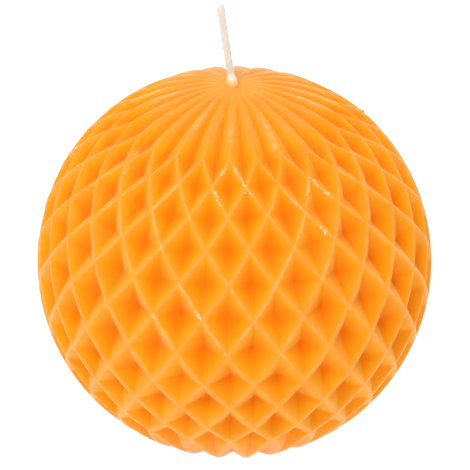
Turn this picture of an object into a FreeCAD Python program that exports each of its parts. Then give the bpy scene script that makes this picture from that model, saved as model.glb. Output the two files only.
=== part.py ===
"""Honeycomb ball candle: cast wax ball with diamond pockets, flutes and a flat base, on a plaited wick.

Millimetres. +Z is up and the origin is the centre of the flat base. Azimuth 0 points along -Y, the front,
and grows towards +X. Rows of pockets are numbered downwards: row 0 is the row of flutes at the top.
"""
import FreeCAD, Part
import math
import os
import Sketcher

Vector = FreeCAD.Vector
doc = FreeCAD.newDocument("honeycomb_ball_candle")

# ---------------------------------------------------------------- driving dimensions
SIZES = [
    ("ball_radius", 42.5, "mm, over the ridges"),
    ("centre_height", 35.5, "mm, from the flat base up to the ball's centre"),
    ("cells_round", 24, "pockets in a row, and flutes"),
    ("pocket_rows", 11, "rows of diamond pockets under the flutes"),
    ("even_levels", 10, "levels down to where the last, long cells start"),
    ("top_latitude", 58.7, "degrees, the level where the flutes end"),
    ("level_step", 9.98, "degrees between levels at the equator"),
    ("level_shrink", 0.23, "power of the cosine of latitude that the step follows"),
    ("last_step", 23.6, "degrees between levels in the long cells that run under the ball"),
    ("ridge_share", 0.12, "share of a half cell taken by the ridge's flat"),
    ("pocket_depth", 3.8, "mm, at the middle of an equator pocket"),
    ("flute_depth", 1.9, "mm, at the foot of a flute"),
    ("flute_top_latitude", 86.0, "degrees, where a flute fades out"),
    ("dent_radius", 3.2, "mm, dent round the wick at the pole"),
    ("dent_depth", 0.4, "mm"),
    ("sink_radius", 9.0, "mm, topped-up sink at the base"),
    ("sink_depth", 5.0, "mm"),
    ("wick_height", 96.3, "mm, tip of the wick above the base"),
    ("wick_lean", 7.9, "degrees, lean of the free end towards -X"),
    ("wick_bend_radius", 20.0, "mm"),
    ("wick_width", 1.64, "mm, over the wax coat"),
    ("wick_thickness", 1.14, "mm, over the wax coat"),
    ("coat_wall", 0.07, "mm, primer wax on the braid"),
    ("tip_slant", 45.0, "degrees, cut at the wick's tip"),
    ("lip_radius", 1.45, "mm, wax gathered round the wick's foot"),
    ("lip_height", 3.2, "mm, above the dent"),
    ("pad_height", 0.8, "mm, straight part of that wax, above the dent"),
    ("pad_seat", 0.2, "mm, how far it reaches into the ball"),
    ("strand_radius", 0.2, "mm, one cotton strand"),
    ("plait_width", 0.52, "mm, swing of a strand across the wick"),
    ("plait_depth", 0.27, "mm, swing of a strand through the wick"),
    ("plait_pitch", 6.0, "mm, one full plait"),
]
sheet = doc.addObject("Spreadsheet::Sheet", "Sizes")
for row, (name, value, note) in enumerate(SIZES, start=1):
    sheet.set(f"A{row}", name)
    sheet.set(f"B{row}", str(value))
    sheet.set(f"C{row}", note)
    sheet.setAlias(f"B{row}", name)
doc.recompute()


def size(name):
    """One driving dimension, read from the sheet."""
    return float(sheet.get(name))


def add_rules(sketch, rules):
    """Geometric constraints of a sketch, each a kind and the places that it holds."""
    for rule in rules:
        sketch.addConstraint(Sketcher.Constraint(*rule))


def hold(sketch, kind, places, value, expression):
    """A dimension of a sketch, tied to the sheet by an expression."""
    index = sketch.addConstraint(Sketcher.Constraint(kind, *places, value))
    sketch.setExpression(f"Constraints[{index}]", expression)


def new_body(name):
    """An empty body with a label of its own."""
    body = doc.addObject("PartDesign::Body", name)
    body.Label = name
    return body


def new_sketch(body, name, plane):
    """A sketch on one of the body's own origin planes."""
    sketch = body.newObject("Sketcher::SketchObject", name)
    support = next(f for f in body.Origin.OriginFeatures if f.Role == plane)
    sketch.AttachmentSupport = [(support, "")]
    sketch.MapMode = "FlatFace"
    return sketch


def join_ends(sketch, count):
    """Join the ends of the sketch's last few curves into one closed chain."""
    first = sketch.GeometryCount - count
    for i in range(count):
        following = first + (i + 1) % count
        sketch.addConstraint(Sketcher.Constraint("Coincident", first + i, 2, following, 1))


def add_lines(sketch, points):
    """A closed chain of straight lines through the points."""
    for start, end in zip(points, points[1:] + points[:1]):
        sketch.addGeometry(Part.LineSegment(Vector(*start, 0), Vector(*end, 0)), False)
    join_ends(sketch, len(points))


def revolve(body, sketch, name):
    """Turn a sketch in the XZ plane once round the Z axis."""
    turn = body.newObject("PartDesign::Revolution", name)
    turn.Profile = sketch
    turn.ReferenceAxis = (sketch, ["V_Axis"])
    turn.Angle = 360.0
    sketch.Visibility = False


# ---------------------------------------------------------------- levels and places on the ball
BALL_RADIUS = size("ball_radius")
CENTRE = Vector(0, 0, size("centre_height"))
HALF_CELL = 180.0 / size("cells_round")
POLE_HEIGHT = size("centre_height") + BALL_RADIUS
DENT_FLOOR = "Sizes.centre_height + Sizes.ball_radius - Sizes.dent_depth"


def level_latitudes():
    """Latitudes of the levels where ridges cross.

    Each step down is level_step times a power of the cosine of the latitude halfway along it, so the
    rows get a little lower away from the equator. The last cells are long and run on under the ball.
    """
    step, shrink = size("level_step"), size("level_shrink")
    latitudes = [size("top_latitude")]
    for _ in range(int(size("even_levels"))):
        upper = latitudes[-1]
        trial = step * math.cos(math.radians(upper)) ** shrink
        halfway = math.radians(upper - trial / 2)
        latitudes.append(upper - step * math.cos(halfway) ** shrink)
    while len(latitudes) < int(size("pocket_rows")) + 2:
        latitudes.append(latitudes[-1] - size("last_step"))
    return latitudes


LATITUDES = level_latitudes()


def latitude_at(level):
    """Latitude of a level, which may lie between two whole ones."""
    lower = min(int(level), len(LATITUDES) - 2)
    part = level - lower
    return LATITUDES[lower] * (1 - part) + LATITUDES[lower + 1] * part


def on_ball(latitude, column, radius):
    """Point at a latitude in degrees, a column in half cells and a distance from the ball's centre."""
    up = math.radians(latitude)
    azimuth = math.radians(column * HALF_CELL)
    flat = radius * math.cos(up)
    return CENTRE + Vector(flat * math.sin(azimuth), -flat * math.cos(azimuth), radius * math.sin(up))


def solid_from_triangles(triangles):
    """Closed solid from triangles of points."""
    faces = [Part.Face(Part.makePolygon([a, b, c, a])) for a, b, c in triangles]
    solid = Part.Solid(Part.Shell(faces))
    if solid.Volume < 0:
        solid.reverse()
    return solid


# ---------------------------------------------------------------- cutters for the relief
def pocket_cutter(level, column):
    """Four-sided pyramid, apex inwards, whose sides meet the ball just inside the cell's ridges.

    Its corners run on past the ball's surface, further where the ball bulges more, and a fifth point
    outside the ball closes it. Pockets get shallower away from the equator, as the cells get narrower.
    """
    tall_margin, wide_margin, roof_margin = 1.35, 1.10, 1.2
    share = size("ridge_share")
    latitude = latitude_at(level)
    depth = size("pocket_depth") * math.cos(math.radians(latitude)) ** 1.2
    apex = on_ball(latitude, column, BALL_RADIUS - depth)
    roof = on_ball(latitude, column, BALL_RADIUS + roof_margin * depth)
    upper = on_ball(latitude_at(level - 1 + share), column, BALL_RADIUS)
    lower = on_ball(latitude_at(level + 1 - share), column, BALL_RADIUS)
    left = on_ball(latitude, column - 1 + share, BALL_RADIUS)
    right = on_ball(latitude, column + 1 - share, BALL_RADIUS)
    margins = [(upper, tall_margin), (right, wide_margin), (lower, tall_margin), (left, wide_margin)]
    corners = [apex + (corner - apex) * margin for corner, margin in margins]
    triangles = []
    for here, following in zip(corners, corners[1:] + corners[:1]):
        triangles.append((apex, here, following))
        triangles.append((roof, here, following))
    return solid_from_triangles(triangles)


def flute_cutter(column):
    """V groove up a meridian: deepest at level 0, fading out at the pole, closing in a point at level 1.

    It is a chain of V sections with a roof, whose sides stand proud of the ball by the same amount.
    """
    stations, proud, least_depth, fade, tip_margin = 6, 0.8, 0.1, 0.8, 1.3
    share = size("ridge_share")
    foot, crown = latitude_at(0), size("flute_top_latitude")
    left, valley, right, roof = [], [], [], []
    for i in range(stations):
        along = i / (stations - 1)
        latitude = foot + (crown - foot) * along
        depth = size("flute_depth") * (1 - along) ** fade + least_depth
        half = (1 - share) * (1 + proud / depth)
        left.append(on_ball(latitude, column - half, BALL_RADIUS + proud))
        right.append(on_ball(latitude, column + half, BALL_RADIUS + proud))
        valley.append(on_ball(latitude, column, BALL_RADIUS - depth))
        roof.append(on_ball(latitude, column, BALL_RADIUS + 2 * proud))
    tip_on_ball = on_ball(latitude_at(1 - share), column, BALL_RADIUS)
    tip = valley[0] + (tip_on_ball - valley[0]) * tip_margin
    triangles = [(tip, left[0], valley[0]), (tip, valley[0], right[0])]
    triangles += [(tip, right[0], roof[0]), (tip, roof[0], left[0])]
    for i in range(stations - 1):
        for one, other in ((left, valley), (valley, right), (right, roof), (roof, left)):
            triangles.append((one[i], other[i], other[i + 1]))
            triangles.append((one[i], other[i + 1], one[i + 1]))
    triangles.append((left[-1], valley[-1], right[-1]))
    triangles.append((left[-1], right[-1], roof[-1]))
    return solid_from_triangles(triangles)


def add_cutters():
    """All the pockets and flutes as one group of separate cutters."""
    columns = int(2 * size("cells_round"))
    cutters = []
    for level in range(1, int(size("pocket_rows")) + 1):
        first = 1 if level % 2 == 0 else 0
        cutters += [pocket_cutter(level, column) for column in range(first, columns, 2)]
    cutters += [flute_cutter(column) for column in range(1, columns, 2)]
    group = doc.addObject("Part::Feature", "relief_cutters")
    group.Shape = Part.makeCompound(cutters)
    return group


# ---------------------------------------------------------------- the wick's route
def wick_path():
    """Up the axis, round a bend that is halfway at the dent, then straight on at the lean, to the tip."""
    lean = math.radians(size("wick_lean"))
    bend = size("wick_bend_radius")
    start = POLE_HEIGHT - size("dent_depth") - 0.5 * bend * math.sin(lean)
    bend_end = Vector(-bend * (1 - math.cos(lean)), 0, start + bend * math.sin(lean))
    middle = Vector(-bend * (1 - math.cos(lean / 2)), 0, start + bend * math.sin(lean / 2))
    reach = (size("wick_height") - bend_end.z) / math.cos(lean)
    tip = bend_end + Vector(-math.sin(lean), 0, math.cos(lean)) * reach
    return Vector(0, 0, 0), Vector(0, 0, start), middle, bend_end, tip


def place_on_route(distance):
    """Centre of the wick and its direction at a distance along its route from the base."""
    foot, bend_start, _, bend_end, tip = wick_path()
    lean = math.radians(size("wick_lean"))
    bend = size("wick_bend_radius")
    straight = bend_start.z - foot.z
    if distance <= straight:
        return Vector(0, 0, distance), Vector(0, 0, 1)
    angle = (distance - straight) / bend
    if angle <= lean:
        place = bend_start + Vector(-bend * (1 - math.cos(angle)), 0, bend * math.sin(angle))
        return place, Vector(-math.sin(angle), 0, math.cos(angle))
    direction = Vector(-math.sin(lean), 0, math.cos(lean))
    return bend_end + direction * (distance - straight - lean * bend), direction


def route_length():
    """Length of the wick from the base to its tip."""
    foot, bend_start, _, bend_end, tip = wick_path()
    lean = math.radians(size("wick_lean"))
    return bend_start.z - foot.z + lean * size("wick_bend_radius") + (tip - bend_end).Length


def add_route_sketch(body, name):
    """The wick's route in the XZ plane: a line, a tangent arc and a line."""
    sketch = new_sketch(body, name, "XZ_Plane")
    foot, bend_start, middle, bend_end, tip = [Vector(place.x, place.z, 0) for place in wick_path()]
    sketch.addGeometry(Part.LineSegment(foot, bend_start), False)
    sketch.addGeometry(Part.Arc(bend_start, middle, bend_end), False)
    sketch.addGeometry(Part.LineSegment(bend_end, tip), False)
    add_rules(sketch, [("Coincident", 0, 1, -1, 1), ("Vertical", 0), ("Tangent", 0, 2, 1, 1),
                       ("Tangent", 1, 2, 2, 1)])
    lean = math.radians(90 + size("wick_lean"))
    rise = "0.5 * Sizes.wick_bend_radius * sin(Sizes.wick_lean * 1 deg)"
    hold(sketch, "Radius", (1,), size("wick_bend_radius"), "Sizes.wick_bend_radius")
    hold(sketch, "Angle", (2,), lean, "90 deg + Sizes.wick_lean * 1 deg")
    hold(sketch, "DistanceY", (-1, 1, 0, 2), bend_start.y, f"{DENT_FLOOR} - {rise}")
    hold(sketch, "DistanceY", (-1, 1, 2, 2), tip.y, "Sizes.wick_height")
    sketch.Visibility = False
    return sketch


def add_stadium(sketch, inset, tie):
    """Closed slot outline of the wick, centred, wide along the sketch's x axis, set in all round.

    The tie is the inset again as an expression of the sheet.
    """
    end = size("wick_thickness") / 2 - inset
    reach = (size("wick_width") - size("wick_thickness")) / 2
    normal = Vector(0, 0, 1)
    right = Part.Circle(Vector(reach, 0, 0), normal, end)
    left = Part.Circle(Vector(-reach, 0, 0), normal, end)
    quarter = math.pi / 2
    sketch.addGeometry(Part.ArcOfCircle(right, -quarter, quarter), False)
    sketch.addGeometry(Part.LineSegment(Vector(reach, end, 0), Vector(-reach, end, 0)), False)
    sketch.addGeometry(Part.ArcOfCircle(left, quarter, 3 * quarter), False)
    sketch.addGeometry(Part.LineSegment(Vector(-reach, -end, 0), Vector(reach, -end, 0)), False)
    add_rules(sketch, [("Tangent", 0, 2, 1, 1), ("Tangent", 1, 2, 2, 1), ("Tangent", 2, 2, 3, 1),
                       ("Tangent", 3, 2, 0, 1), ("Horizontal", 1), ("Horizontal", 3),
                       ("Symmetric", 0, 3, 2, 3, -1, 1)])
    hold(sketch, "Radius", (0,), end, f"Sizes.wick_thickness / 2 - {tie}")
    hold(sketch, "DistanceX", (2, 3, 0, 3), 2 * reach, "Sizes.wick_width - Sizes.wick_thickness")


def sweep(body, profile, route, name):
    """Carry a profile along the wick's route."""
    pipe = body.newObject("PartDesign::AdditivePipe", name)
    pipe.Profile = profile
    pipe.Spine = (route, ["Edge1", "Edge2", "Edge3"])
    profile.Visibility = False


# ---------------------------------------------------------------- the pieces
def make_wax_blank():
    """Plain ball with a flat base and a dent at the pole, before the relief is cut."""
    body = new_body("wax_blank")
    sketch = new_sketch(body, "blank_profile", "XZ_Plane")
    centre = size("centre_height")
    dent = size("dent_radius")
    base_radius = math.sqrt(BALL_RADIUS ** 2 - centre ** 2)
    dent_edge = centre + math.sqrt(BALL_RADIUS ** 2 - dent ** 2)
    dent_floor = POLE_HEIGHT - size("dent_depth")
    circle = Part.Circle(Vector(0, centre, 0), Vector(0, 0, 1), BALL_RADIUS)
    base_angle = math.atan2(-centre, base_radius)
    dent_angle = math.atan2(dent_edge - centre, dent)
    sketch.addGeometry(Part.LineSegment(Vector(0, 0, 0), Vector(base_radius, 0, 0)), False)
    sketch.addGeometry(Part.ArcOfCircle(circle, base_angle, dent_angle), False)
    sketch.addGeometry(Part.LineSegment(Vector(dent, dent_edge, 0), Vector(0, dent_floor, 0)), False)
    sketch.addGeometry(Part.LineSegment(Vector(0, dent_floor, 0), Vector(0, 0, 0)), False)
    join_ends(sketch, 4)
    add_rules(sketch, [("Coincident", 0, 1, -1, 1), ("Horizontal", 0), ("Vertical", 3),
                       ("PointOnObject", 1, 3, -2)])
    hold(sketch, "Radius", (1,), BALL_RADIUS, "Sizes.ball_radius")
    hold(sketch, "DistanceY", (-1, 1, 1, 3), centre, "Sizes.centre_height")
    hold(sketch, "DistanceX", (-1, 1, 2, 1), dent, "Sizes.dent_radius")
    hold(sketch, "DistanceY", (-1, 1, 2, 2), dent_floor, DENT_FLOOR)
    revolve(body, sketch, "blank_turn")
    return body


def make_cone_body(name):
    """Blunt cone on the base plane: the shape of the sink that the second pour fills."""
    body = new_body(name)
    sketch = new_sketch(body, name + "_profile", "XZ_Plane")
    wide, deep = size("sink_radius"), size("sink_depth")
    add_lines(sketch, [(0, 0), (wide, 0), (wide / 3, deep), (0, deep)])
    add_rules(sketch, [("Coincident", 0, 1, -1, 1), ("Horizontal", 0), ("Horizontal", 2), ("Vertical", 3)])
    hold(sketch, "DistanceX", (0, 1, 0, 2), wide, "Sizes.sink_radius")
    hold(sketch, "DistanceY", (3, 2, 3, 1), deep, "Sizes.sink_depth")
    hold(sketch, "DistanceX", (2, 2, 2, 1), wide / 3, "Sizes.sink_radius / 3")
    revolve(body, sketch, name + "_turn")
    return body


def make_wick_envelope():
    """Solid of the whole wick over its wax coat, with the lip at its foot: the room it takes in the wax."""
    body = new_body("wick_envelope")
    route = add_route_sketch(body, "envelope_route")
    profile = new_sketch(body, "envelope_outline", "XY_Plane")
    add_stadium(profile, 0, "0")
    sweep(body, profile, route, "envelope_sweep")
    add_lip(body)
    return body


def add_lip(body):
    """Wax gathered round the wick's foot: a low pad in the dent, drawn up into a cone."""
    sketch = new_sketch(body, "lip_profile", "XZ_Plane")
    floor = POLE_HEIGHT - size("dent_depth")
    seat, pad, top = floor - size("pad_seat"), floor + size("pad_height"), floor + size("lip_height")
    wide, waist = size("lip_radius"), size("wick_width") / 2
    add_lines(sketch, [(0, seat), (wide, seat), (wide, pad), (waist, top), (0, top)])
    add_rules(sketch, [("PointOnObject", 0, 1, -2), ("Horizontal", 0), ("Vertical", 1), ("Horizontal", 3),
                       ("Vertical", 4)])
    hold(sketch, "DistanceX", (0, 1, 0, 2), wide, "Sizes.lip_radius")
    hold(sketch, "DistanceX", (3, 2, 3, 1), waist, "Sizes.wick_width / 2")
    hold(sketch, "DistanceY", (-1, 1, 0, 1), seat, f"{DENT_FLOOR} - Sizes.pad_seat")
    hold(sketch, "DistanceY", (-1, 1, 1, 2), pad, f"{DENT_FLOOR} + Sizes.pad_height")
    hold(sketch, "DistanceY", (-1, 1, 2, 2), top, f"{DENT_FLOOR} + Sizes.lip_height")
    revolve(body, sketch, "lip_turn")


def make_wick_coat(envelope):
    """Primer wax on the wick: the envelope with the braid's room taken out and the tip cut on a slant."""
    core = new_body("braid_room")
    route = add_route_sketch(core, "room_route")
    profile = new_sketch(core, "room_outline", "XY_Plane")
    add_stadium(profile, size("coat_wall"), "Sizes.coat_wall")
    sweep(core, profile, route, "room_sweep")
    sleeve = cut("coat_sleeve", envelope, core)
    return cut("wick_wax_coat", sleeve, make_tip_knife())


def make_tip_knife():
    """Block above the slanted cut at the wick's tip."""
    knife = doc.addObject("Part::Box", "tip_knife")
    side = 5 * size("wick_width")
    for edge in ("Length", "Width", "Height"):
        knife.setExpression(edge, "5 * Sizes.wick_width")
    turn = FreeCAD.Rotation(Vector(0, 1, 0), -size("tip_slant"))
    pivot = wick_path()[-1] + Vector(size("wick_width") / 2, 0, 0)
    knife.Placement = FreeCAD.Placement(pivot - turn.multVec(Vector(side / 2, side / 2, 0)), turn)
    return knife


def cut(name, base, tool):
    """Boolean difference of two objects of the document."""
    feature = doc.addObject("Part::Cut", name)
    feature.Base = base
    feature.Tool = tool
    feature.Label = name
    return feature


def make_strand(number):
    """One of the three strands of the flat plait, whole from the base to the tip.

    Across the wick it swings as the sine of the plait's angle, through it as the sine of twice that
    angle, so that the three strands, a third of a plait apart, pass over and under in turn. Its section
    is an octagon with the area of the round strand.
    """
    radius = size("strand_radius")
    pitch = size("plait_pitch")
    length = route_length() - size("wick_width")
    sides, rings_per_plait = 8, 8
    corner = radius * math.sqrt(2 * math.pi / (sides * math.sin(2 * math.pi / sides)))
    stations = int(length / pitch * rings_per_plait)
    rings, middles = [], []
    for i in range(stations + 1):
        distance = length * i / stations
        angle = 2 * math.pi * (distance / pitch + number / 3)
        place, along = place_on_route(distance)
        across, through = Vector(along.z, 0, -along.x), Vector(0, 1, 0)
        middle = place + across * (size("plait_width") * math.sin(angle))
        middle += through * (size("plait_depth") * math.sin(2 * angle))
        turns = [2 * math.pi * k / sides for k in range(sides)]
        rings.append([middle + across * (corner * math.cos(turn)) + through * (corner * math.sin(turn))
                      for turn in turns])
        middles.append(middle)
    triangles = []
    for k in range(sides):
        beside = (k + 1) % sides
        triangles.append((middles[0], rings[0][beside], rings[0][k]))
        triangles.append((middles[-1], rings[-1][k], rings[-1][beside]))
        for lower, upper in zip(rings, rings[1:]):
            triangles.append((lower[k], lower[beside], upper[beside]))
            triangles.append((lower[k], upper[beside], upper[k]))
    strand = doc.addObject("Part::Feature", f"wick_strand_{number + 1}")
    strand.Label = f"wick_strand_{number + 1}"
    strand.Shape = solid_from_triangles(triangles)
    strand.Placement = FreeCAD.Placement()
    expected = math.pi * radius ** 2 * length
    print(strand.Label, "length", round(length, 2), "volume / (section x length)",
          round(strand.Shape.Volume / expected, 3))
    return strand


def build():
    """Make every piece and return the ones that are kept, in order."""
    envelope = make_wick_envelope()
    coat = make_wick_coat(envelope)
    blank = make_wax_blank()
    open_base = cut("blank_with_sink", blank, make_cone_body("sink_room"))
    bored = cut("blank_with_bore", open_base, envelope)
    wax_ball = cut("wax_ball", bored, add_cutters())
    fill = make_cone_body("fill_cone")
    base_top_up = cut("base_top_up", fill, envelope)
    strands = [make_strand(number) for number in range(3)]
    doc.recompute()
    return [wax_ball, base_top_up, coat] + strands


def check(pieces):
    """Stop if any object failed or any kept piece isn't one or more valid solids."""
    for item in doc.Objects:
        if {"Invalid", "Error"} & set(item.State):
            raise RuntimeError(f"{item.Name} failed: {item.State}")
    for piece in pieces:
        shape = piece.Shape
        if shape.isNull() or not shape.isValid() or not shape.Solids:
            raise RuntimeError(f"{piece.Label} has no valid solid")
        box = shape.BoundBox
        print(piece.Label, "solids", len(shape.Solids), "volume", round(shape.Volume, 1), "z",
              round(box.ZMin, 2), round(box.ZMax, 2), "x", round(box.XMin, 2), round(box.XMax, 2))


pieces = build()
check(pieces)
os.makedirs("parts", exist_ok=True)
for piece in pieces:
    piece.Shape.exportStep(f"parts/{piece.Label}.step")
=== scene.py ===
"""Honeycomb ball candle: cast wax ball with diamond pockets and a fluted top, on a plaited, waxed wick.

Metres in the part's own frame: +Z up, origin at the centre of the flat base. Azimuth 0 points along -Y and
grows towards +X. Places on the ball are given by a column, counted in half cells round the ball, and a
level, counted downwards in ridge crossings from the foot of the flutes.
"""
import math

import bmesh
import bpy
import numpy as np
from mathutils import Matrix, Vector


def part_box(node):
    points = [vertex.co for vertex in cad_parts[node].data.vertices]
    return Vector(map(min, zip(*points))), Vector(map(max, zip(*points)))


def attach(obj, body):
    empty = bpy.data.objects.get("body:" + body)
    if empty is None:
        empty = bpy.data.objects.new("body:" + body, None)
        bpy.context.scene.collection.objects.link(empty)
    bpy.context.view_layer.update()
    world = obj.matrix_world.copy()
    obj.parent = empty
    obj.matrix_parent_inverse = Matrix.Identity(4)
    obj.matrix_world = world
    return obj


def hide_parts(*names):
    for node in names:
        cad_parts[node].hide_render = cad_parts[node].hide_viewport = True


MM = 0.001
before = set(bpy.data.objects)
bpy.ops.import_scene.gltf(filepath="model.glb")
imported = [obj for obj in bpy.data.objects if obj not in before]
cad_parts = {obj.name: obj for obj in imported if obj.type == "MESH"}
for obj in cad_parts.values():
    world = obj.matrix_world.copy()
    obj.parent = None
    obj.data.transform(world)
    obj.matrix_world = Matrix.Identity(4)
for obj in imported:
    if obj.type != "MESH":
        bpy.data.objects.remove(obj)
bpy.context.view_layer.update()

# ---------------------------------------------------------------- sizes read from the frame
WAX_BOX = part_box("wax_ball")
WICK_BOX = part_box("wick_wax_coat")
SINK_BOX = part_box("base_top_up")
BALL_RADIUS = (WAX_BOX[1].x - WAX_BOX[0].x) / 2
SINK_RADIUS = SINK_BOX[1].x
SINK_DEPTH = SINK_BOX[1].z
WICK_TOP = WICK_BOX[1].z

# ---------------------------------------------------------------- the ball and its relief
CENTRE_HEIGHT = 35.5 * MM
CENTRE = np.array([0.0, 0.0, CENTRE_HEIGHT])
POLE_HEIGHT = CENTRE_HEIGHT + BALL_RADIUS
CELLS_ROUND = 24
HALF_CELL = math.pi / CELLS_ROUND
ROWS = 11
EVEN_LEVELS = 10
TOP_LATITUDE = math.radians(58.7)
LEVEL_STEP = math.radians(9.98)
LEVEL_SHRINK = 0.23
LAST_STEP = math.radians(23.6)
TWIST = 0.017
POCKET_DEPTH = 3.8 * MM
FLUTE_DEPTH = 1.9 * MM
RIDGE_UPPER = 0.045
RIDGE_LOWER = 0.13
SKIN_DIP = 0.45 * MM
SKIN_RISE = 0.35 * MM
DENT_DEPTH = 0.4 * MM
BORE_RIM = 0.9 * MM
BORE_THROAT = 1.5 * MM
SIDE_POINTS = 17

# ---------------------------------------------------------------- the wick
WICK_LEAN = math.radians(7.9)
WICK_BEND = 20.0 * MM
COAT_WIDTH = 1.64 * MM
COAT_THICKNESS = 1.14 * MM
LIP_RADIUS = 1.45 * MM
LIP_HEIGHT = 3.2 * MM
STRAND_RADIUS = 0.2 * MM
PLAIT_WIDTH = 0.52 * MM
PLAIT_DEPTH = 0.27 * MM
PLAIT_PITCH = 6.0 * MM
OFF_AXIS = 0.35 * MM
WICK_STRAIGHT = POLE_HEIGHT - DENT_DEPTH - 0.5 * WICK_BEND * math.sin(WICK_LEAN)

PARAFFIN_IOR = 1.44


# ================================================================ camera, floor and light
def add_camera():
    """Long lens a little right of the front, looking down on the ball by 28.9 degrees."""
    azimuth, elevation = math.radians(2.9), math.radians(28.9)
    distance = 850 * MM
    field_width = 101.4 * MM
    aim_up, aim_right = 5.55 * MM, 0.15 * MM
    back = Vector((math.sin(azimuth) * math.cos(elevation),
                   -math.cos(azimuth) * math.cos(elevation),
                   math.sin(elevation)))
    data = bpy.data.cameras.new("camera")
    camera = bpy.data.objects.new("camera", data)
    bpy.context.scene.collection.objects.link(camera)
    turn = (-back).to_track_quat("-Z", "Y")
    right, up = turn @ Vector((1, 0, 0)), turn @ Vector((0, 1, 0))
    aim = Vector(CENTRE) + up * aim_up + right * aim_right
    camera.location = aim + back * distance
    camera.rotation_mode = "QUATERNION"
    camera.rotation_quaternion = turn
    data.sensor_width = 36.0
    data.lens = data.sensor_width * distance / field_width
    data.clip_start = 0.05
    data.clip_end = 20.0
    bpy.context.scene.camera = camera


def linear(code):
    """An sRGB hex colour as linear red, green, blue and alpha."""
    values = [int(code[i:i + 2], 16) / 255 for i in (1, 3, 5)]
    return tuple(v / 12.92 if v <= 0.04045 else ((v + 0.055) / 1.055) ** 2.4 for v in values) + (1.0,)


def add_light(name, place, size, power, colour="#ffffff"):
    """Square soft box at a place, aimed at the ball."""
    data = bpy.data.lights.new(name, "AREA")
    data.shape = "SQUARE"
    data.size = size
    data.energy = power
    data.color = linear(colour)[:3]
    light = bpy.data.objects.new(name, data)
    light.location = place
    light.rotation_mode = "QUATERNION"
    light.rotation_quaternion = (Vector(CENTRE) - Vector(place)).to_track_quat("-Z", "Y")
    bpy.context.scene.collection.objects.link(light)


def add_studio():
    """White room, a strong soft box in front on the left and a faint one above, with no film curve."""
    bpy.context.scene.view_settings.view_transform = "Standard"
    world = bpy.data.worlds.new("white room")
    world.use_nodes = True
    background = world.node_tree.nodes["Background"]
    background.inputs["Color"].default_value = (1.0, 1.0, 1.0, 1.0)
    background.inputs["Strength"].default_value = 0.78
    bpy.context.scene.world = world
    add_light("key", (-0.22, -0.58, 0.95), 0.45, 5.6)
    add_light("top", (0.05, 0.3, 0.85), 0.45, 0.1)


# ================================================================ shader helpers
class Shader:
    """A new material and the few calls that its nodes need."""

    def __init__(self, name):
        self.material = bpy.data.materials.new(name)
        self.material.use_nodes = True
        self.tree = self.material.node_tree
        self.surface = self.tree.nodes["Principled BSDF"]

    def node(self, kind, links=None, **settings):
        """Add a node: links go to its inputs, settings to its properties or input values."""
        node = self.tree.nodes.new(kind)
        for key, value in settings.items():
            if hasattr(node, key):
                setattr(node, key, value)
            else:
                node.inputs[key.replace("_", " ")].default_value = value
        for key, source in (links or {}).items():
            self.tree.links.new(source, node.inputs[key])
        return node

    def into(self, socket, source):
        """Link an output to one of the surface's inputs."""
        self.tree.links.new(source, self.surface.inputs[socket])


def plain_floor():
    """White light table: opal acrylic, lit from below so that it stays white under the ball."""
    shader = Shader("opal acrylic, lit from below")
    shader.surface.inputs["Base Color"].default_value = linear("#6c6c6c")
    shader.surface.inputs["Roughness"].default_value = 0.9
    shader.surface.inputs["Emission Color"].default_value = linear("#ffffff")
    shader.surface.inputs["Emission Strength"].default_value = 0.97
    return shader.material


def set_wax(surface, reach):
    """Paraffin: light goes in, red furthest and blue hardly at all, and comes back a reach away."""
    surface.subsurface_method = "RANDOM_WALK"
    surface.inputs["Subsurface Weight"].default_value = 1.0
    surface.inputs["Subsurface Radius"].default_value = (1.0, 0.35, 0.05)
    surface.inputs["Subsurface Scale"].default_value = reach
    surface.inputs["IOR"].default_value = PARAFFIN_IOR
    surface.inputs["Specular IOR Level"].default_value = 0.05


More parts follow.
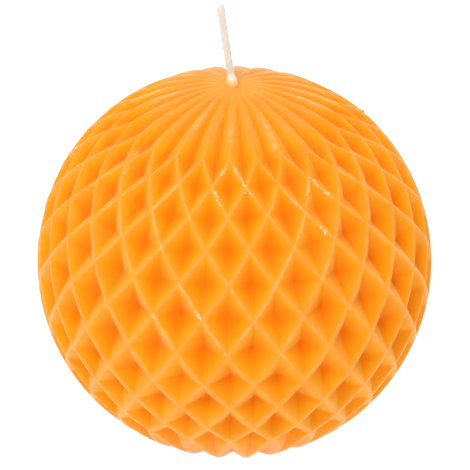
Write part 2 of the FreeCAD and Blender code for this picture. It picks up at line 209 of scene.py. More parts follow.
def cast_wax():
    """Dyed paraffin, cast in a soft mould.

    The colour is painted pale yellow on the thin ridges and deep orange towards the pockets' apexes: painted
    light where thin wax lets light through, and painted shade in the pockets. The mould leaves a satin skin
    with shallow dimples and a fine grain. Where the ridges were knocked the wax has crumbled to white crumbs,
    and pale streaks on the flute crests and ridges are partly bloom and partly painted highlight.
    """
    shader = Shader("dyed paraffin, cast")
    place = shader.node("ShaderNodeTexCoord").outputs["Object"]
    # painted light and shade: the pocket value runs the colour from pale yellow on the ridges, where thin wax
    # lets light through, to deep orange at the pockets' apexes and in the flute grooves, where shade falls
    relief = shader.node("ShaderNodeAttribute", attribute_name="pocket")
    ramp = shader.node("ShaderNodeValToRGB", {"Fac": relief.outputs["Fac"]})
    stops = ramp.color_ramp.elements
    stops[0].position, stops[0].color = 0.0, linear("#fba042")
    stops[1].position, stops[1].color = 1.0, linear("#fe7e02")
    for spot, code in ((0.1, "#fba026"), (0.25, "#fc9e10"), (0.55, "#fd8f05")):
        stop = stops.new(spot)
        stop.color = linear(code)

    # dye and trapped air are uneven over about 9 mm
    cloud = shader.node("ShaderNodeTexNoise", {"Vector": place}, Scale=1 / (9 * MM), Detail=3.0)
    tint = shader.node("ShaderNodeMapRange", {"Value": cloud.outputs["Fac"]}, From_Min=0.3, From_Max=0.7,
                       To_Min=0.94, To_Max=1.05)
    mottled = shader.node("ShaderNodeHueSaturation", {"Color": ramp.outputs["Color"],
                                                      "Value": tint.outputs["Result"]})

    # the lowest centimetre is redder
    height_up = shader.node("ShaderNodeSeparateXYZ", {"Vector": place}).outputs["Z"]
    foot = shader.node("ShaderNodeMapRange", {"Value": height_up}, From_Max=11 * MM, To_Min=0.5, To_Max=0.0)
    reddened = shader.node("ShaderNodeMixRGB", {"Fac": foot.outputs["Result"],
                                                "Color1": mottled.outputs["Color"]},
                           Color2=linear("#f27a2e"))

    # bloom and painted highlight: soft pale streaks, broken up over 1.6 mm
    streak = shader.node("ShaderNodeTexNoise", {"Vector": place}, Scale=1 / (1.6 * MM), Detail=2.0)
    patchy = shader.node("ShaderNodeMapRange", {"Value": streak.outputs["Fac"]}, From_Min=0.35, From_Max=0.7,
                         To_Min=0.05, To_Max=0.55)
    bloom_and_highlight = shader.node("ShaderNodeAttribute", attribute_name="bloom_and_highlight")
    pale = shader.node("ShaderNodeMath", {0: bloom_and_highlight.outputs["Fac"], 1: patchy.outputs["Result"]},
                       operation="MULTIPLY")
    with_bloom_and_highlight = shader.node("ShaderNodeMixRGB", {"Fac": pale.outputs["Value"],
                                               "Color1": reddened.outputs["Color"]},
                          Color2=linear("#ffd492"))

    # crumbs: the knocked ridge shows pale grains, 0.3 to 0.7 mm across
    grain = shader.node("ShaderNodeTexNoise", {"Vector": place}, Scale=1 / (0.9 * MM), Detail=6.0,
                        Roughness=0.7)
    knocked = shader.node("ShaderNodeAttribute", attribute_name="scuff")
    chance = shader.node("ShaderNodeMath", {0: grain.outputs["Fac"], 1: knocked.outputs["Fac"]},
                         operation="MULTIPLY")
    crumbs = shader.node("ShaderNodeMapRange", {"Value": chance.outputs["Value"]}, From_Min=0.43,
                         From_Max=0.62)
    scuffed = shader.node("ShaderNodeMixRGB", {"Fac": crumbs.outputs["Result"],
                                               "Color1": with_bloom_and_highlight.outputs["Color"]},
                          Color2=linear("#ffdcaa"))
    shader.into("Base Color", scuffed.outputs["Color"])

    # skin: dimples 2.4 mm across, a grain of 0.4 mm, and the crumbs stand proud
    dimple = shader.node("ShaderNodeTexNoise", {"Vector": place}, Scale=1 / (2.4 * MM), Detail=3.0)
    skin = shader.node("ShaderNodeTexNoise", {"Vector": place}, Scale=1 / (0.4 * MM), Detail=2.0)
    height = shader.node("ShaderNodeMath", {0: skin.outputs["Fac"], 2: dimple.outputs["Fac"]},
                         operation="MULTIPLY_ADD")
    height.inputs[1].default_value = 0.25
    rough_height = shader.node("ShaderNodeMath", {0: crumbs.outputs["Result"], 2: height.outputs["Value"]},
                               operation="MULTIPLY_ADD")
    rough_height.inputs[1].default_value = 1.2
    bump = shader.node("ShaderNodeBump", {"Height": rough_height.outputs["Value"]}, Strength=0.5,
                       Distance=0.07 * MM)
    shader.into("Normal", bump.outputs["Normal"])
    satin = shader.node("ShaderNodeMapRange", {"Value": dimple.outputs["Fac"]}, From_Min=0.3, From_Max=0.7,
                        To_Min=0.32, To_Max=0.48)
    shader.into("Roughness", satin.outputs["Result"])
    set_wax(shader.surface, 0.4 * MM)
    # the satin skin scatters a pale pink rim where it is seen edge-on
    shader.surface.inputs["Sheen Weight"].default_value = 0.3
    shader.surface.inputs["Sheen Roughness"].default_value = 0.4
    shader.surface.inputs["Sheen Tint"].default_value = linear("#ffe2d6")
    return shader.material


def crumbled_wax():
    """Crumbled paraffin: pale, because the air in it scatters the light, and matt."""
    shader = Shader("dyed paraffin, crumbled")
    place = shader.node("ShaderNodeTexCoord").outputs["Object"]
    # crumbs differ from one to the next: the cloud is as large as two of them
    cloud = shader.node("ShaderNodeTexNoise", {"Vector": place}, Scale=1 / (0.8 * MM), Detail=2.0)
    ramp = shader.node("ShaderNodeValToRGB", {"Fac": cloud.outputs["Fac"]})
    stops = ramp.color_ramp.elements
    stops[0].position, stops[0].color = 0.4, linear("#fda84c")
    stops[1].position, stops[1].color = 0.68, linear("#ffe8ca")
    shader.into("Base Color", ramp.outputs["Color"])
    shader.surface.inputs["Roughness"].default_value = 0.7
    set_wax(shader.surface, 0.3 * MM)
    return shader.material


def levelled_wax():
    """Dyed paraffin, poured a second time and left to set: duller, with a soft skin of ripples."""
    shader = Shader("dyed paraffin, topped up")
    place = shader.node("ShaderNodeTexCoord").outputs["Object"]
    # clouds 4 mm across, and ripples of 1.8 mm in the skin
    cloud = shader.node("ShaderNodeTexNoise", {"Vector": place}, Scale=1 / (4 * MM), Detail=4.0)
    ramp = shader.node("ShaderNodeValToRGB", {"Fac": cloud.outputs["Fac"]})
    ramp.color_ramp.elements[0].color = linear("#ea7c08")
    ramp.color_ramp.elements[1].color = linear("#f6a02c")
    shader.into("Base Color", ramp.outputs["Color"])
    ripple = shader.node("ShaderNodeTexNoise", {"Vector": place}, Scale=1 / (1.8 * MM), Detail=3.0)
    bump = shader.node("ShaderNodeBump", {"Height": ripple.outputs["Fac"]}, Strength=0.5, Distance=0.15 * MM)
    shader.into("Normal", bump.outputs["Normal"])
    shader.surface.inputs["Roughness"].default_value = 0.5
    set_wax(shader.surface, 1.2 * MM)
    return shader.material


def primer_wax():
    """Clear paraffin soaked into bleached cotton.

    Creamy white and satin, with fine lengthwise threads under the wax. Round the foot it has taken up
    orange wax and turned pale yellow.
    """
    shader = Shader("bleached cotton soaked in paraffin")
    place = shader.node("ShaderNodeTexCoord").outputs["Object"]
    height = shader.node("ShaderNodeSeparateXYZ", {"Vector": place}).outputs["Z"]
    climb = shader.node("ShaderNodeMapRange", {"Value": height}, From_Min=POLE_HEIGHT,
                        From_Max=POLE_HEIGHT + 3.4 * MM)
    ramp = shader.node("ShaderNodeValToRGB", {"Fac": climb.outputs["Result"]})
    stops = ramp.color_ramp.elements
    stops[0].position, stops[0].color = 0.0, linear("#f5b04a")
    stops[1].position, stops[1].color = 1.0, linear("#e2dad0")
    for spot, code in ((0.36, "#f3cf92"), (0.46, "#f0e8dc")):
        stop = stops.new(spot)
        stop.color = linear(code)
    # threads: about 0.3 mm apart and drawn out ten times as long
    drawn = shader.node("ShaderNodeMapping", {"Vector": place}, Scale=(1.0, 1.0, 0.1))
    thread = shader.node("ShaderNodeTexNoise", {"Vector": drawn.outputs["Vector"]}, Scale=1 / (0.3 * MM),
                         Detail=3.0)
    shade = shader.node("ShaderNodeMapRange", {"Value": thread.outputs["Fac"]}, From_Min=0.3, From_Max=0.7,
                        To_Min=0.9, To_Max=1.04)
    threads = shader.node("ShaderNodeHueSaturation", {"Color": ramp.outputs["Color"],
                                                      "Value": shade.outputs["Result"]})
    shader.into("Base Color", threads.outputs["Color"])
    bump = shader.node("ShaderNodeBump", {"Height": thread.outputs["Fac"]}, Strength=0.5, Distance=0.06 * MM)
    shader.into("Normal", bump.outputs["Normal"])
    surface = shader.surface
    surface.inputs["Roughness"].default_value = 0.45
    surface.inputs["IOR"].default_value = PARAFFIN_IOR
    surface.inputs["Subsurface Weight"].default_value = 0.3
    surface.inputs["Subsurface Radius"].default_value = (1.0, 0.9, 0.7)
    surface.inputs["Subsurface Scale"].default_value = 0.4 * MM
    return shader.material


def spun_cotton():
    """Bleached cotton yarn, matt and a little fuzzy, with fine fibres along it."""
    shader = Shader("bleached cotton, spun")
    place = shader.node("ShaderNodeTexCoord").outputs["Object"]
    drawn = shader.node("ShaderNodeMapping", {"Vector": place}, Scale=(1.0, 1.0, 0.15))
    # fibres: about 0.08 mm apart and nearly seven times as long
    fibre = shader.node("ShaderNodeTexNoise", {"Vector": drawn.outputs["Vector"]}, Scale=1 / (0.08 * MM),
                        Detail=2.0)
    ramp = shader.node("ShaderNodeValToRGB", {"Fac": fibre.outputs["Fac"]})
    ramp.color_ramp.elements[0].color = linear("#c4b9a8")
    ramp.color_ramp.elements[1].color = linear("#e6dfd2")
    shader.into("Base Color", ramp.outputs["Color"])
    bump = shader.node("ShaderNodeBump", {"Height": fibre.outputs["Fac"]}, Strength=0.6, Distance=0.02 * MM)
    shader.into("Normal", bump.outputs["Normal"])
    shader.surface.inputs["Roughness"].default_value = 0.85
    shader.surface.inputs["Sheen Weight"].default_value = 0.4
    return shader.material


# ================================================================ places on the ball
def latitude_of(level):
    """Latitude of a level, whole or not.

    Going down one level takes LEVEL_STEP times a low power of the cosine of the latitude, and LAST_STEP
    once past the even levels, so the latitude is that slope summed in small steps from TOP_LATITUDE.
    """
    steps = 64
    table = [TOP_LATITUDE]
    for count in range((ROWS + 1) * steps):
        even = LEVEL_STEP * math.cos(table[-1]) ** LEVEL_SHRINK
        table.append(table[-1] - (even if count < EVEN_LEVELS * steps else LAST_STEP) / steps)
    return np.interp(level, np.arange(len(table)) / steps, table)


def drift(column, level):
    """How far the cast lattice strays from the true one, in columns and levels.

    The ball is twisted a little, evenly from top to bottom, and slow sine waves go a whole number of times
    round it. Together they move a ridge sideways by up to 1.4 mm. Rows 6 and 7 sag, the rows under them sit
    high, and the last ridges above the base are up to 5 mm higher than the even spacing.
    """
    turn = column * HALF_CELL
    aside = TWIST * level + 0.03 + 0.085 * np.sin(3 * turn + 2.75)
    aside = aside + 0.022 * np.sin(9 * turn - 1.7 * level + 2)
    down = 0.025 * np.sin(7 * turn + 1.3 * level + 0.5) - 0.055 * np.cos(4 * turn - 0.5)
    sag = 0.09 * np.exp(-((level - 6.6) / 0.8) ** 2) - 0.06 * ramp_up(level, 7.5, 8.5)
    return aside, down + sag - 0.15 * ramp_up(level, 9.2, 10.0)


def on_ball(column, latitude, radius):
    """Point at a column, a latitude and a distance from the ball's centre, as an array of x, y, z."""
    column, latitude, radius = np.broadcast_arrays(column, latitude, radius)
    azimuth = column * HALF_CELL
    flat = radius * np.cos(latitude)
    return CENTRE + np.stack([flat * np.sin(azimuth), -flat * np.cos(azimuth), radius * np.sin(latitude)], -1)


def skin_radius(latitude):
    """Radius of the ball over its ridges, with a shallow ring SKIN_DIP down round the flutes."""
    fall = ramp_up(latitude, math.radians(38), math.radians(64))
    rise = ramp_up(latitude, math.radians(68), math.radians(86))
    return BALL_RADIUS - (SKIN_DIP * fall - SKIN_RISE * rise)


def ramp_up(value, low, high):
    """0 below low, 1 above high, and a smooth S between."""
    share = np.clip((value - low) / (high - low), 0, 1)
    return share * share * (3 - 2 * share)


def soft_min(a, b, width):
    """The smaller of two arrays, with the corner where they meet rounded over a width."""
    blend = np.clip(0.5 + 0.5 * (b - a) / width, 0, 1)
    return b * (1 - blend) + a * blend - width * blend * (1 - blend)


def spread(count):
    """Parameter along a cell's side, 0 to 1, with points crowded near both ridges."""
    even = np.linspace(-1, 1, count)
    return 0.5 + 0.5 * np.sign(even) * (1 - (1 - np.abs(even)) ** 1.45)


# ================================================================ the wax ball
def wall(near, level):
    """Share of a pocket's depth at a distance from its ridge, where 0 is the ridge's middle and 1 the apex.

    The ridge is a flat land, narrow in the upper rows and wider in the lower ones, with a small round
    down into a straight wall.
    """
    lower = ramp_up(level, 2.0, 9.0)
    land = RIDGE_UPPER + (RIDGE_LOWER - RIDGE_UPPER) * lower
    past = near - land
    rounding = 0.012 + 0.03 * lower
    rounded = 0.5 * (past + np.sqrt(past ** 2 + rounding ** 2))
    return rounded / (1 - land)


def pocket_depth(near, level, latitude):
    """Depth under the ridges at a distance from the ridge, in pockets that get shallower off the equator."""
    return POCKET_DEPTH * np.cos(latitude) ** 1.2 * wall(near, level)


def marks(column, level, segments, width):
    """How much each place lies on one of the marked stretches: 1 on it, fading over a width in half cells.

    A stretch is a straight line from one column and level to another. The distance to it goes round the
    ball's seam.
    """
    amount = np.zeros(np.broadcast(column, level).shape)
    for start_column, start_level, end_column, end_level in segments:
        run, drop = end_column - start_column, end_level - start_level
        aside = (column - start_column + CELLS_ROUND) % (2 * CELLS_ROUND) - CELLS_ROUND
        below = level - start_level
        along = np.clip((aside * run + below * drop) / (run ** 2 + drop ** 2), 0, 1)
        gap = np.hypot(aside - along * run, below - along * drop)
        amount = np.maximum(amount, np.exp(-(gap / width) ** 2))
    return amount


def knocked_ridges():
    """Stretches of ridge that were knocked: a cluster at the front, and odd ones round the other sides."""
    front = [(-0.15, 0.2, -0.6, 0.6), (0.25, 0.25, 0.9, 0.9), (-0.8, 1.15, -0.4, 1.6), (0.9, 0.95, 1.4, 1.4),
             (1.0, 1.0, 0.9, 1.3), (5.0, 1.0, 4.4, 1.6), (5.0, 1.0, 5.7, 1.7), (3.4, 1.5, 3.9, 1.9),
             (4.5, 2.5, 4.7, 2.7), (8.9, 4.9, 9.2, 5.2), (-1.2, 4.8, -1.0, 5.0), (-1.1, 7.1, -1.2, 7.2)]
    rng = np.random.default_rng(7)
    others = []
    for _ in range(18):
        level = int(rng.integers(1, 7))
        column = 2 * int(rng.integers(6, 19)) + level % 2
        start, length = rng.uniform(0.1, 0.6), rng.uniform(0.15, 0.45)
        side = rng.choice([-1, 1])
        others.append((column + side * start, level + start, column + side * (start + length),
                       level + start + length))
    return front + others


def bloom_and_highlight_stretches():
    """Stretches painted pale, partly bloom and partly painted highlight: flute crests and some ridges of the
    upper rows.
    """
    front = [(4.0, -1.1, 3.8, -0.2), (-4.0, -1.8, -4.0, -1.2), (0.0, -1.0, 0.0, -0.8), (-3.0, 1.0, -2.0, 2.0),
             (-4.0, 2.0, -3.0, 3.0), (-3.0, 1.0, -4.0, 2.0), (-7.0, 0.7, -6.6, 1.3), (-8.0, 1.6, -8.0, 2.1),
             (-2.0, 4.0, -1.0, 5.0), (3.0, 3.0, 1.0, 5.0), (4.0, 4.0, 4.4, 3.6), (4.0, 2.0, 3.0, 3.0),
             (-0.9, 5.1, -0.05, 5.95), (0.05, 5.95, 0.9, 5.1), (2.9, 5.1, 2.2, 5.8), (-3.0, 5.0, -2.2, 5.8)]
    rng = np.random.default_rng(11)
    others = []
    for _ in range(14):
        column = 2 * int(rng.integers(5, 20))
        level = rng.uniform(-1.6, -0.4)
        others.append((column, level, column + rng.uniform(-0.2, 0.2), level + rng.uniform(0.3, 0.9)))
    return front + others


def pocket_grid():
    """Points of every diamond cell, with its painted shade, how knocked each is and its bloom and painted
    highlight.

    s and t run 0 to 1 along the cell's two pairs of ridges, so the column is the cell's plus s - t and
    the level is the cell's plus s + t - 1. Depth follows the distance to the nearest ridge, twice the
    smallest of s, 1 - s, t and 1 - t, each times its own factor near 1, which puts the apex a little off
    the middle. The creases where two walls meet are slightly rounded. Each pocket's own depth is within
    6 percent of the rule.
    """
    share = spread(SIDE_POINTS)
    s, t = np.meshgrid(share, share, indexing="ij")
    level = np.repeat(np.arange(1, ROWS + 1), CELLS_ROUND)
    column = np.tile(np.arange(0, 2 * CELLS_ROUND, 2), ROWS) + (level + 1) % 2
    rng = np.random.default_rng(3)
    own = rng.uniform(0.94, 1.06, level.shape)[:, None, None]
    pull = rng.uniform(0.9, 1.12, (4,) + level.shape)[:, :, None, None]
    across = column[:, None, None] + s - t
    down = level[:, None, None] + s + t - 1
    near = 2 * soft_min(np.minimum(pull[0] * s, pull[1] * (1 - s)),
                        np.minimum(pull[2] * t, pull[3] * (1 - t)), 0.025)
    aside, below = drift(across, down)
    latitude = latitude_of(down + below)
    depth = pocket_depth(near, down, latitude) * own
    points = on_ball(across + aside, latitude, skin_radius(latitude) - depth)
    scuff = marks(across, down, knocked_ridges(), 0.12)
    # pale ridge crests, a random amount per cell: partly bloom and partly painted highlight
    faint_crest_bloom_and_highlight = rng.uniform(0, 0.5, own.shape) * np.exp(-(near / 0.1) ** 2)
    bloom_and_highlight = np.maximum(marks(across, down, bloom_and_highlight_stretches(), 0.05), faint_crest_bloom_and_highlight)
    # painted shade: darker towards the pocket's apex, and less so in the lower rows
    painted_shade = near * (1 - 0.3 * ramp_up(down, 5.5, 8.5))
    return points, painted_shade, scuff, bloom_and_highlight


def across_flutes():
    """Places across a flute's groove, -1 to 1 between two crests, and the column of each for every flute."""
    share = spread(SIDE_POINTS)
    a = np.concatenate([share - 1, share[1:]])
    return a, (np.arange(CELLS_ROUND) * 2 + 1)[:, None] + a


def flute_grid(rows=36):
    """Points of the flutes, from the zigzag at their foot to the wick's foot.

    a runs -1 to 1 across a flute's groove, between two crests. b runs 0 to 1 from the zigzag, which is at
    level 1 - |a|, to the rim of the wick's bore. The groove's section is a V at the foot. Further up it is
    a raised cosine to a power, which makes the crests broad and both crest and groove round. The grooves
    get shallower towards the pole and towards the back.
    """
    a, column = across_flutes()
    column = column[:, None, :]
    b = np.linspace(0, 1, rows)[:, None]
    foot_level = np.broadcast_to(1 - np.abs(a), column.shape)
    aside, below = drift(column, foot_level)
    foot = latitude_of(foot_level + below)
    rim = math.acos(BORE_RIM / BALL_RADIUS)
    latitude = foot + (rim - foot) * b ** 1.15
    climb = (latitude - foot) / LEVEL_STEP
    crest_gap = 1 - np.abs(a)[None, :] + 0 * climb
    near = soft_min(crest_gap, 1.6 * climb, 0.1)
    rise = ramp_up(climb, 0.0, 1.3)
    groove = (0.5 - 0.5 * np.cos(math.pi * crest_gap)) ** 2.0 * ramp_up(climb, 0.0, 0.9)
    inside = wall(near, 0.0) * (1 - rise) + groove * rise
    fade = (np.cos(latitude) / math.cos(TOP_LATITUDE)) ** 1.2 * ramp_up(1 - b, 0.0, 0.3)
    fade = fade * (0.8 + 0.2 * np.cos(column * HALF_CELL))
    depth = FLUTE_DEPTH * inside * fade
    points = on_ball(column + aside * (1 - b), latitude, skin_radius(latitude) - depth)
    # painted shade: paler on the flute crests and darker down the grooves
    painted_shade = near * (1 - rise) + (0.02 + 0.6 * groove ** 2 * fade) * rise
    level = foot_level - climb
    scuff = marks(column, level, knocked_ridges(), 0.12)
    # pale flute crests: partly bloom and partly painted highlight
    bloom_and_highlight = marks(column, level, bloom_and_highlight_stretches(), 0.26)
    return points, painted_shade, scuff, bloom_and_highlight


def oval_reach(angle, half_width, half_thickness, power=2.6):
    """Distance from the wick's middle to a rounded oval's edge, in a direction counted from -Y to +X."""
    across = np.abs(np.sin(angle)) / half_width
    through = np.abs(np.cos(angle)) / half_thickness
    return (across ** power + through ** power) ** (-1 / power)


def bore_grid():
    """Rings down the wick's bore, round the sink at the base and out to the sink's rim.

    Each ring has the columns of the flutes, at its own height and with its own reach from the axis. The
    upper ring round the wick is shifted with it.
    """
    angle = across_flutes()[1] * HALF_CELL
    oval = oval_reach(angle, COAT_WIDTH / 2, COAT_THICKNESS / 2)
    latitude = math.acos(BORE_RIM / BALL_RADIUS)
    top = CENTRE_HEIGHT + skin_radius(latitude) * math.sin(latitude)
    rim = skin_radius(latitude) * math.cos(latitude)
    rings = [(rim, top), (oval, top - BORE_THROAT), (oval, SINK_DEPTH), (SINK_RADIUS / 3, SINK_DEPTH),
             (SINK_RADIUS, 0.0)]
    reach = np.stack([np.broadcast_to(ring, angle.shape) for ring, _ in rings], 1)
    height = np.stack([np.full(angle.shape, z) for _, z in rings], 1)
    turn = angle[:, None, :]
    points = np.stack([reach * np.sin(turn), -reach * np.cos(turn), height], -1)
    points[:, 1, :, 0] += wick_route(np.array([top - BORE_THROAT]))[0][0, 0]
    plain = np.zeros(points.shape[:-1])
    return points, plain + 0.5, plain, plain


def weld_grids(grids):
    """Vertices, quads and vertex values of several stacks of grids, each shaped (patch, row, column)."""
    quads = []
    start = 0
    for grid in grids:
        patches, rows, columns = grid[0].shape[:3]
        index = start + np.arange(patches * rows * columns).reshape(patches, rows, columns)
        corners = [index[:, :-1, :-1], index[:, 1:, :-1], index[:, 1:, 1:], index[:, :-1, 1:]]
        quads.append(np.stack(corners, -1).reshape(-1, 4))
        start += patches * rows * columns
    vertices = np.concatenate([grid[0].reshape(-1, 3) for grid in grids])
    # the first value is the painted shade, the last is partly bloom and partly painted highlight
    values = {name: np.concatenate([np.asarray(grid[place]).reshape(-1) for grid in grids])
              for place, name in enumerate(("pocket", "scuff", "bloom_and_highlight"), start=1)}
    return vertices, np.concatenate(quads), values


def new_mesh(name, vertices, faces, values=None):
    """Mesh object from arrays, with optional named values per vertex for its material."""
    mesh = bpy.data.meshes.new(name)
    mesh.from_pydata(vertices, [], faces)
    for key, amounts in (values or {}).items():
        layer = mesh.attributes.new(key, "FLOAT", "POINT")
        layer.data.foreach_set("value", amounts.astype(np.float32))
    mesh.update()
    obj = bpy.data.objects.new(name, mesh)
    bpy.context.scene.collection.objects.link(obj)
    return obj


def face_outwards(obj):
    """Turn every face of a closed mesh outwards."""
    form = bmesh.new()
    form.from_mesh(obj.data)
    bmesh.ops.recalc_face_normals(form, faces=form.faces)
    form.to_mesh(obj.data)
    form.free()


def cut_flat(obj):
    """Merge the patches' shared borders, cut the ball at the base plane and close the base ring."""
    form = bmesh.new()
    form.from_mesh(obj.data)
    bmesh.ops.remove_doubles(form, verts=form.verts, dist=0.004 * MM)
    everything = form.verts[:] + form.edges[:] + form.faces[:]
    bmesh.ops.bisect_plane(form, geom=everything, dist=1e-7, plane_co=(0, 0, 0), plane_no=(0, 0, 1),
                           clear_inner=True)
    open_edges = [edge for edge in form.edges if edge.is_boundary]
    bmesh.ops.triangle_fill(form, use_beauty=True, edges=open_edges)
    bmesh.ops.recalc_face_normals(form, faces=form.faces)
    open_count = sum(edge.is_boundary for edge in form.edges)
    print(obj.name, "triangles", sum(len(face.verts) - 2 for face in form.faces), "open edges", open_count,
          "volume cm3", round(form.calc_volume() * 1e6, 1))
    form.to_mesh(obj.data)
    form.free()


def finish_piece(obj, material, node, sharp=None):
    """Smooth shading, material, and the piece's place in the frame."""
    obj.data.shade_smooth()
    if sharp is not None:
        obj.data.set_sharp_from_angle(angle=math.radians(sharp))
    obj.data.materials.append(material)
    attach(obj, "root")
    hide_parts(node)


def make_wax_ball():
    """The main pour: pockets, flutes, bore, sink and flat base in one closed skin."""
    vertices, quads, values = weld_grids([pocket_grid(), flute_grid(), bore_grid()])
    ball = new_mesh("wax_ball_relief", vertices, quads, values)
    cut_flat(ball)
    finish_piece(ball, cast_wax(), "wax_ball", sharp=50)


def make_crumbs():
    """Wax crumbs that cling to the knocked ridges.

    A crumb is a small sphere, its radius times 0.65 to 1.35 at each vertex, squashed along each axis. It
    sits in the skin, mostly within 0.6 mm of the ridge's middle, so its depth is the wall's.
    """
    rng = np.random.default_rng(21)
    crumbs_per_level = 9  # for a stretch as long as one level or half a cell
    stretches = np.array(knocked_ridges())
    start, run = stretches[:, :2], stretches[:, 2:] - stretches[:, :2]
    length = np.hypot(run[:, 0], run[:, 1])
    which = np.repeat(np.arange(len(length)), np.ceil(length * crumbs_per_level).astype(int))
    beside = np.stack([-run[:, 1], run[:, 0]], -1) / length[:, None]
    gap = rng.normal(0, 0.06, which.size)
    spot = start[which] + run[which] * rng.beta(0.7, 0.7, which.size)[:, None] + beside[which] * gap[:, None]
    column, level = spot.T
    aside, below = drift(column, level)
    latitude = latitude_of(level + below)
    depth = pocket_depth(1.4 * np.abs(gap), level, latitude)
    middle = on_ball(column + aside, latitude, skin_radius(latitude) - depth)

    rings, sides = 5, 8
    polar = np.linspace(0, math.pi, rings)[1:-1, None]
    turn = np.arange(sides) * 2 * math.pi / sides
    ring = np.stack([np.sin(polar) * np.cos(turn), np.sin(polar) * np.sin(turn),
                     np.cos(polar) + 0 * turn], -1)
    ball = np.concatenate([ring.reshape(-1, 3), [[0, 0, 1], [0, 0, -1]]])
    squash = rng.uniform(0.35, 1.6, (which.size, 1, 3))
    squash = squash * (0.1 + 0.28 * rng.uniform(0, 1, (which.size, 1, 1)) ** 2) * MM
    lumps = rng.uniform(0.65, 1.35, (which.size, len(ball), 1))
    vertices = middle[:, None] + ball * squash * lumps
    index = np.arange((rings - 2) * sides).reshape(rings - 2, sides)
    onward = np.roll(index, -1, axis=1)
    quads = np.stack([index[:-1], index[1:], onward[1:], onward[:-1]], -1).reshape(-1, 4)
    top, bottom = index.size, index.size + 1
    caps = np.concatenate([np.stack([index[0], onward[0], 0 * index[0] + top], -1),
                           np.stack([onward[-1], index[-1], 0 * index[0] + bottom], -1)])
    first = (np.arange(which.size) * len(ball))[:, None, None]
    faces = (quads + first).reshape(-1, 4).tolist() + (caps + first).reshape(-1, 3).tolist()
    crumbs = new_mesh("wax_crumbs", vertices.reshape(-1, 3), faces)
    finish_piece(crumbs, crumbled_wax(), "wax_ball")


# ================================================================ the wick
def wick_route(distance):
    """Middle of the wick and its sideways direction at distances along its route from the base.

    Straight up the axis, round an arc of WICK_BEND that turns it by WICK_LEAN towards -X, then straight.
    It was cast a little off the axis, so it strays by OFF_AXIS on its last 20 mm inside the ball.
    """
    angle = np.clip((distance - WICK_STRAIGHT) / WICK_BEND, 0, WICK_LEAN)
    beyond = np.maximum(distance - WICK_STRAIGHT - WICK_LEAN * WICK_BEND, 0)
    x = -WICK_BEND * (1 - np.cos(angle)) - beyond * np.sin(angle)
    x = x - OFF_AXIS * ramp_up(distance, WICK_STRAIGHT - 20 * MM, WICK_STRAIGHT)
    z = np.minimum(distance, WICK_STRAIGHT) + WICK_BEND * np.sin(angle) + beyond * np.cos(angle)
    middle = np.stack([x, 0 * x, z], -1)
    across = np.stack([np.cos(angle), 0 * x, np.sin(angle)], -1)
    return middle, across


def route_length():
    """Length of the route up to the height of the wick's tip."""
    bend_top = WICK_STRAIGHT + WICK_BEND * math.sin(WICK_LEAN)
    return WICK_STRAIGHT + WICK_LEAN * WICK_BEND + (WICK_TOP - bend_top) / math.cos(WICK_LEAN)


def strand_place(distance, number):
    """Sideways and through-the-wick swing of a strand: a sine, and the sine of twice its angle."""
    angle = 2 * math.pi * (distance / PLAIT_PITCH + number / 3)
    return PLAIT_WIDTH * np.sin(angle), PLAIT_DEPTH * np.sin(2 * angle)


def tube(name, distance, sideways, through, reach):
    """Closed tube along the wick's route from arrays shaped (station, direction).

    sideways and through move the tube's middle, reach is its radius in each direction, and each end is
    closed by a point at its middle.
    """
    stations, sides = reach.shape
    turn = np.linspace(0, 2 * math.pi, sides, endpoint=False)
    middle, across = wick_route(distance)
    forward = np.array([0.0, 1.0, 0.0])
    middle = middle + across * sideways[..., None] + forward * through[..., None]
    if middle.ndim == 2:
        middle, across = middle[:, None], across[:, None]
    ring = middle + across * (reach * np.sin(turn))[..., None] - forward * (reach * np.cos(turn))[..., None]
    ends = np.stack([ring[0].mean(0), ring[-1].mean(0)])
    vertices = np.concatenate([ring.reshape(-1, 3), ends])
    index = np.arange(stations * sides).reshape(stations, sides)
    beside = np.roll(index, -1, axis=1)
    walls = np.stack([index[:-1], beside[:-1], beside[1:], index[1:]], -1).reshape(-1, 4).tolist()
    foot, tip = stations * sides, stations * sides + 1
    caps = [[foot, b, a] for a, b in zip(index[0].tolist(), beside[0].tolist())]
    caps += [[tip, a, b] for a, b in zip(index[-1].tolist(), beside[-1].tolist())]
    obj = new_mesh(name, vertices, walls + caps)
    face_outwards(obj)
    return obj


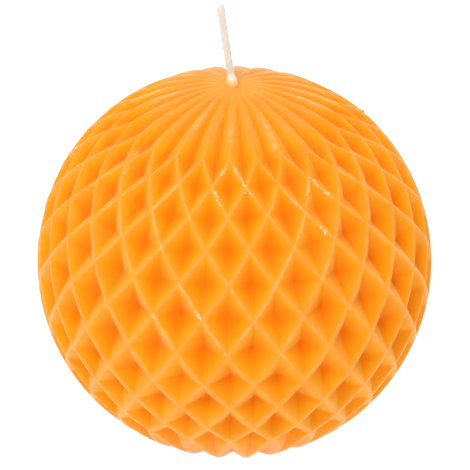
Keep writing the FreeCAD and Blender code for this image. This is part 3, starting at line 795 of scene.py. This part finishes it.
def make_wick_coat():
    """Primer wax over the plait.

    In each direction its reach is the furthest strand's reach plus a wax wall, blended with a smooth
    oval, so that the plait shows through. Round the foot it swells into the gathered cone and pad. The
    tip is cut on a slant: the last stations lean over to the left.
    """
    length = route_length()
    sides, stations = 40, 620
    skin_wall, slant_angle = 0.07 * MM, math.radians(45)
    distance = np.linspace(0, length, stations)
    turn = np.linspace(0, 2 * math.pi, sides, endpoint=False)
    reach = oval_reach(turn, COAT_WIDTH / 2 - 0.05 * MM, COAT_THICKNESS / 2 - 0.05 * MM)[None, :]
    reach = np.repeat(reach, stations, 0)
    strand_reach = np.zeros_like(reach)
    for number in range(3):
        sideways, through = strand_place(distance, number)
        toward = sideways[:, None] * np.sin(turn) - through[:, None] * np.cos(turn)
        aside = sideways[:, None] * np.cos(turn) + through[:, None] * np.sin(turn)
        inside = np.maximum((STRAND_RADIUS * 1.15) ** 2 - aside ** 2, 0)
        hit = np.where(inside > 0, toward + np.sqrt(inside), 0)
        strand_reach = np.maximum(strand_reach, hit)
    reach = 0.55 * reach + 0.45 * np.maximum(reach * 0.86, strand_reach + skin_wall)
    foot_height = POLE_HEIGHT - DENT_DEPTH
    above = (distance - foot_height) / LIP_HEIGHT
    cone = ramp_up(1 - above, 0.0, 1.0) * (above > -0.35)  # the gathered wax ends just under the skin
    wobble = 1 + 0.06 * np.sin(2 * turn + 0.7) + 0.04 * np.sin(3 * turn + 2.0)
    reach = reach + cone[:, None] * (LIP_RADIUS * wobble - reach)
    slant = np.tan(slant_angle) * np.maximum(0, reach * -np.sin(turn) + COAT_WIDTH * 0.1)
    near_tip = ramp_up(distance, length - 3 * MM, length)[:, None]
    along = distance[:, None] - slant * near_tip
    flare = 1 + 0.12 * near_tip
    zero = np.zeros_like(along)
    coat = tube("wick_wax_skin", along, zero, zero, reach * flare)
    finish_piece(coat, primer_wax(), "wick_wax_coat", sharp=60)


def make_strand(number):
    """One cotton strand of the plait, spun from five finer yarns: its radius waves five times a turn."""
    below_tip, above_base, yarn_pitch = 0.9 * MM, 0.02 * MM, 1.4 * MM
    sides, stations = 20, 520
    distance = np.linspace(above_base, route_length() - below_tip, stations)
    turn = np.linspace(0, 2 * math.pi, sides, endpoint=False)
    twist = 2 * math.pi * distance[:, None] / yarn_pitch
    reach = STRAND_RADIUS * (0.93 + 0.07 * np.cos(5 * turn + twist))
    sideways, through = strand_place(distance, number)
    strand = tube(f"cotton_strand_{number + 1}", distance, sideways, through, reach)
    finish_piece(strand, spun_cotton(), f"wick_strand_{number + 1}")


def make_base_fill():
    """The second pour: a blunt cone that fills the sink, its face drawn down a little in the middle."""
    sides = 96
    turn = np.linspace(0, 2 * math.pi, sides, endpoint=False)
    # the rings' radius and height in mm, for a sink 9 mm in radius and 5 mm deep
    radius, depth = 9.0, 5.0
    rings = [(3.0, 5.0), (9.0, 0.0), (8.7, 0.02), (8.2, 0.16), (7.0, 0.26), (5.5, 0.32), (4.0, 0.38),
             (2.6, 0.4), (1.5, 0.3)]
    oval = oval_reach(turn, COAT_WIDTH / 2, COAT_THICKNESS / 2)
    reach = np.stack([oval] + [np.full(sides, SINK_RADIUS * r / radius) for r, _ in rings] + [oval])
    height = np.array([SINK_DEPTH] + [SINK_DEPTH * z / depth for _, z in rings] + [0.2 * MM])
    # only the open face ripples, between its rim and the flat top of the cone
    ripple = 0.03 * MM * np.sin(3 * turn + 1.0) + 0.02 * MM * np.sin(7 * turn)
    lift = np.where((height > 0.05 * MM) & (height < 1 * MM), 1.0, 0.0)
    z = height[:, None] + lift[:, None] * ripple
    vertices = np.stack([reach * np.sin(turn), -reach * np.cos(turn), z], -1).reshape(-1, 3)
    count = len(height)
    index = np.arange(count * sides).reshape(count, sides)
    index = np.concatenate([index, index[:1]])
    beside = np.roll(index, -1, axis=1)
    quads = np.stack([index[:-1], beside[:-1], beside[1:], index[1:]], -1).reshape(-1, 4)
    fill = new_mesh("second_pour", vertices, quads.tolist())
    face_outwards(fill)
    finish_piece(fill, levelled_wax(), "base_top_up", sharp=50)


def add_floor():
    """The white table that the candle stands on."""
    bpy.ops.mesh.primitive_plane_add(size=6.0)
    floor = bpy.context.object
    floor.name = "floor"
    floor.data.materials.append(plain_floor())


# ================================================================ build
add_camera()
add_studio()
make_wax_ball()
make_crumbs()
make_base_fill()
make_wick_coat()
for strand_number in range(3):
    make_strand(strand_number)
add_floor()

bpy.context.view_layer.update()
